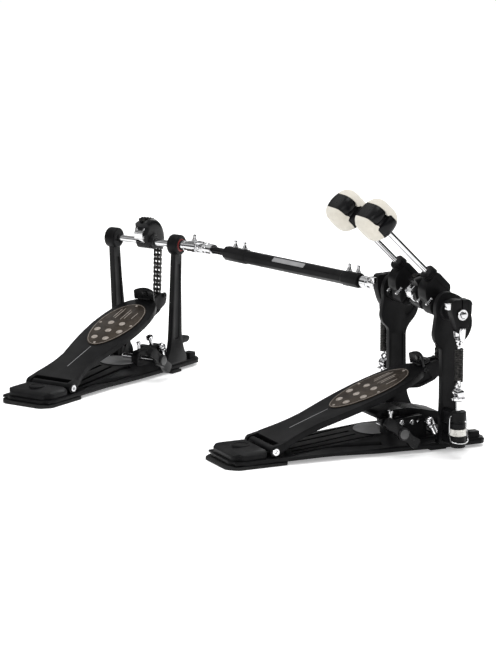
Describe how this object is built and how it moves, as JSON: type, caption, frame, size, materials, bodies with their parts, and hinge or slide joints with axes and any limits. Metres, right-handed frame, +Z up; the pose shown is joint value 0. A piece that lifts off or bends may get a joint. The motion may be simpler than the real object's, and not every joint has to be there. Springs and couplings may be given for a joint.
{
  "type": "double bass drum pedal",
  "caption": "Floor pedal pair joined by a telescopic drive shaft: footboards pull chains over cams that swing felt beaters at a drum head, with return springs and a hoop clamp.",
  "frame": {"origin": "on the floor, on the main unit's centre line, straight under its axle", "axes": "+X to the player's right, +Y towards the drum, +Z up"},
  "size_m": [0.7597, 0.484, 0.3367],
  "materials": {
    "black_powder_coat": "satin black powder coat",
    "chrome": "bright chrome plate",
    "black_rubber": "matt black rubber",
    "bronze_tread": "dark bronze, satin, with pale outline",
    "black_plastic": "smooth black plastic",
    "white_felt": "off-white pressed felt",
    "black_chain_steel": "blackened steel",
    "knurled_nickel": "knurled nickel plate"
  },
  "bodies": {
    "root": {"main_baseplate": "black_powder_coat", "main_heel_pad": "black_rubber", "main_front_foot": "black_rubber", "main_heel_plate": "black_powder_coat", "main_hinge_pin": "chrome", "side_baseplate": "black_powder_coat", "side_heel_pad": "black_rubber", "side_front_foot": "black_rubber", "side_heel_plate": "black_powder_coat", "side_hinge_pin": "chrome", "main_post_left": "black_powder_coat", "main_post_right": "black_powder_coat", "side_post_left": "black_powder_coat", "side_post_right": "black_powder_coat", "left_spring_rod": "chrome", "right_spring_rod": "chrome"},
    "right_beater": {"right_axle": "chrome", "main_cam": "black_plastic", "main_chain_wrap": "black_chain_steel", "right_beater_holder": "black_powder_coat", "right_beater_shaft": "chrome", "right_beater_core": "black_plastic", "right_beater_felt": "white_felt", "right_rocker": "black_powder_coat"},
    "left_beater": {"left_axle": "chrome", "left_joint_cross": "chrome", "left_beater_holder": "black_powder_coat", "left_beater_shaft": "chrome", "left_beater_core": "black_plastic", "left_beater_felt": "white_felt", "left_rocker": "black_powder_coat"},
    "main_chain_upper": {"main_chain_upper": "black_chain_steel"},
    "main_chain_lower": {"main_chain_lower": "black_chain_steel"},
    "main_chain_run": {"main_chain_run": "black_chain_steel"},
    "main_footboard": {"main_footboard": "black_powder_coat", "main_tread_plate": "bronze_tread", "main_toe_stop": "black_plastic"},
    "drive_shaft": {"drive_tube": "black_powder_coat", "drive_rod_left": "chrome", "drive_rod_right": "chrome"},
    "side_axle": {"side_axle": "chrome", "side_cam": "black_plastic", "side_chain_wrap": "black_chain_steel", "right_joint_cross": "chrome"},
    "side_chain_upper": {"side_chain_upper": "black_chain_steel"},
    "side_chain_lower": {"side_chain_lower": "black_chain_steel"},
    "side_chain_run": {"side_chain_run": "black_chain_steel"},
    "side_footboard": {"side_footboard": "black_powder_coat", "side_tread_plate": "bronze_tread", "side_toe_stop": "black_plastic"},
    "right_link": {"right_spring_link": "chrome"},
    "right_spring": {"right_spring": "black_chain_steel"},
    "right_nut": {"right_adjuster_nut": "knurled_nickel"},
    "left_link": {"left_spring_link": "chrome"},
    "left_spring": {"left_spring": "black_chain_steel"},
    "left_nut": {"left_adjuster_nut": "knurled_nickel"},
    "hoop_clamp_jaw": {"hoop_clamp_jaw": "black_powder_coat"},
    "main_wing_screw": {"main_wing_screw": "black_powder_coat"},
    "side_wing_screw": {"side_wing_screw": "black_powder_coat"}
  },
  "joints": [
    {"name": "right_beater_swing", "type": "hinge", "parent": "root", "child": "right_beater", "pos_m": [0, 0, 0.19], "axis": [-1, 0, 0], "range_deg": [0, 45], "stiffness_Nm_per_rad": 1.2, "springref_deg": -22.92, "deforming": ["right_spring"]},
    {"name": "left_beater_swing", "type": "hinge", "parent": "root", "child": "left_beater", "pos_m": [0, 0, 0.19], "axis": [-1, 0, 0], "range_deg": [0, 45], "stiffness_Nm_per_rad": 1.2, "springref_deg": -22.92, "deforming": ["left_spring"]},
    {"name": "main_chain_upper_bend", "type": "hinge", "parent": "right_beater", "child": "main_chain_upper", "pos_m": [0, 0.02304, 0.21292], "axis": [1, 0, 0], "range_deg": [0, 13.5]},
    {"name": "main_chain_lower_bend", "type": "hinge", "parent": "main_chain_upper", "child": "main_chain_lower", "pos_m": [0, 0.03004, 0.2024], "axis": [1, 0, 0], "range_deg": [0, 22.5]},
    {"name": "main_chain_run_swing", "type": "hinge", "parent": "main_chain_lower", "child": "main_chain_run", "pos_m": [0, 0.0325, 0.19], "axis": [1, 0, 0], "range_deg": [0, 13.7]},
    {"name": "main_footboard_press", "type": "hinge", "parent": "root", "child": "main_footboard", "pos_m": [0, -0.229, 0.018], "axis": [-1, 0, 0], "range_deg": [0, 5.6]},
    {"name": "drive_shaft_turn", "type": "hinge", "parent": "root", "child": "drive_shaft", "pos_m": [-0.47589, -0.09289, 0.19], "axis": [-0.9678, -0.2519, 0], "range_deg": [0, 45]},
    {"name": "side_axle_turn", "type": "hinge", "parent": "root", "child": "side_axle", "pos_m": [-0.563, -0.144, 0.19], "axis": [-0.8625, -0.506, 0], "range_deg": [0, 45]},
    {"name": "side_chain_upper_bend", "type": "hinge", "parent": "side_axle", "child": "side_chain_upper", "pos_m": [-0.57466, -0.12413, 0.21292], "axis": [0.8625, 0.506, 0], "range_deg": [0, 13.5]},
    {"name": "side_chain_lower_bend", "type": "hinge", "parent": "side_chain_upper", "child": "side_chain_lower", "pos_m": [-0.5782, -0.11809, 0.2024], "axis": [0.8625, 0.506, 0], "range_deg": [0, 22.5]},
    {"name": "side_chain_run_swing", "type": "hinge", "parent": "side_chain_lower", "child": "side_chain_run", "pos_m": [-0.57945, -0.11597, 0.19], "axis": [0.8625, 0.506, 0], "range_deg": [0, 13.7]},
    {"name": "side_footboard_press", "type": "hinge", "parent": "root", "child": "side_footboard", "pos_m": [-0.44712, -0.34152, 0.018], "axis": [-0.8625, -0.506, 0], "range_deg": [0, 5.6]},
    {"name": "right_link_swing", "type": "hinge", "parent": "right_beater", "child": "right_link", "pos_m": [0.1055, 0, 0.1695], "axis": [1, 0, 0], "range_deg": [0, 56.1]},
    {"name": "right_spring_lean", "type": "hinge", "parent": "root", "child": "right_spring", "pos_m": [0.1055, 0, 0.101], "axis": [1, 0, 0], "range_deg": [0, 11.1]},
    {"name": "right_nut_turn", "type": "hinge", "parent": "root", "child": "right_nut", "pos_m": [0.1055, 0, 0.035], "axis": [0, 0, 1], "continuous": true},
    {"name": "left_link_swing", "type": "hinge", "parent": "left_beater", "child": "left_link", "pos_m": [-0.0955, 0, 0.1695], "axis": [1, 0, 0], "range_deg": [0, 56.1]},
    {"name": "left_spring_lean", "type": "hinge", "parent": "root", "child": "left_spring", "pos_m": [-0.0955, 0, 0.101], "axis": [1, 0, 0], "range_deg": [0, 11.1]},
    {"name": "left_nut_turn", "type": "hinge", "parent": "root", "child": "left_nut", "pos_m": [-0.0955, 0, 0.035], "axis": [0, 0, 1], "continuous": true},
    {"name": "jaw_tilt", "type": "hinge", "parent": "root", "child": "hoop_clamp_jaw", "pos_m": [0, -0.018, 0.036], "axis": [1, 0, 0], "range_deg": [-4, 2]},
    {"name": "main_wing_screw_turn", "type": "hinge", "parent": "root", "child": "main_wing_screw", "pos_m": [0.05, -0.062, 0.0315], "axis": [1, 0, 0], "continuous": true},
    {"name": "side_wing_screw_turn", "type": "hinge", "parent": "root", "child": "side_wing_screw", "pos_m": [-0.4885, -0.17217, 0.0315], "axis": [0.8625, 0.506, 0], "continuous": true}
  ],
  "couplings": [
    {"joint": "main_chain_upper_bend", "follows": "right_beater_swing", "ratio": 0.29909},
    {"joint": "main_chain_lower_bend", "follows": "right_beater_swing", "ratio": 0.49834},
    {"joint": "main_chain_run_swing", "follows": "right_beater_swing", "ratio": 0.30312},
    {"joint": "main_footboard_press", "follows": "right_beater_swing", "ratio": 0.12356},
    {"joint": "drive_shaft_turn", "follows": "left_beater_swing", "ratio": 1},
    {"joint": "side_axle_turn", "follows": "left_beater_swing", "ratio": 1},
    {"joint": "side_chain_upper_bend", "follows": "left_beater_swing", "ratio": 0.29909},
    {"joint": "side_chain_lower_bend", "follows": "left_beater_swing", "ratio": 0.49834},
    {"joint": "side_chain_run_swing", "follows": "left_beater_swing", "ratio": 0.30312},
    {"joint": "side_footboard_press", "follows": "left_beater_swing", "ratio": 0.12356},
    {"joint": "right_link_swing", "follows": "right_beater_swing", "ratio": 1.2447},
    {"joint": "right_spring_lean", "follows": "right_beater_swing", "ratio": 0.24467},
    {"joint": "left_link_swing", "follows": "left_beater_swing", "ratio": 1.2447},
    {"joint": "left_spring_lean", "follows": "left_beater_swing", "ratio": 0.24467}
  ]
}
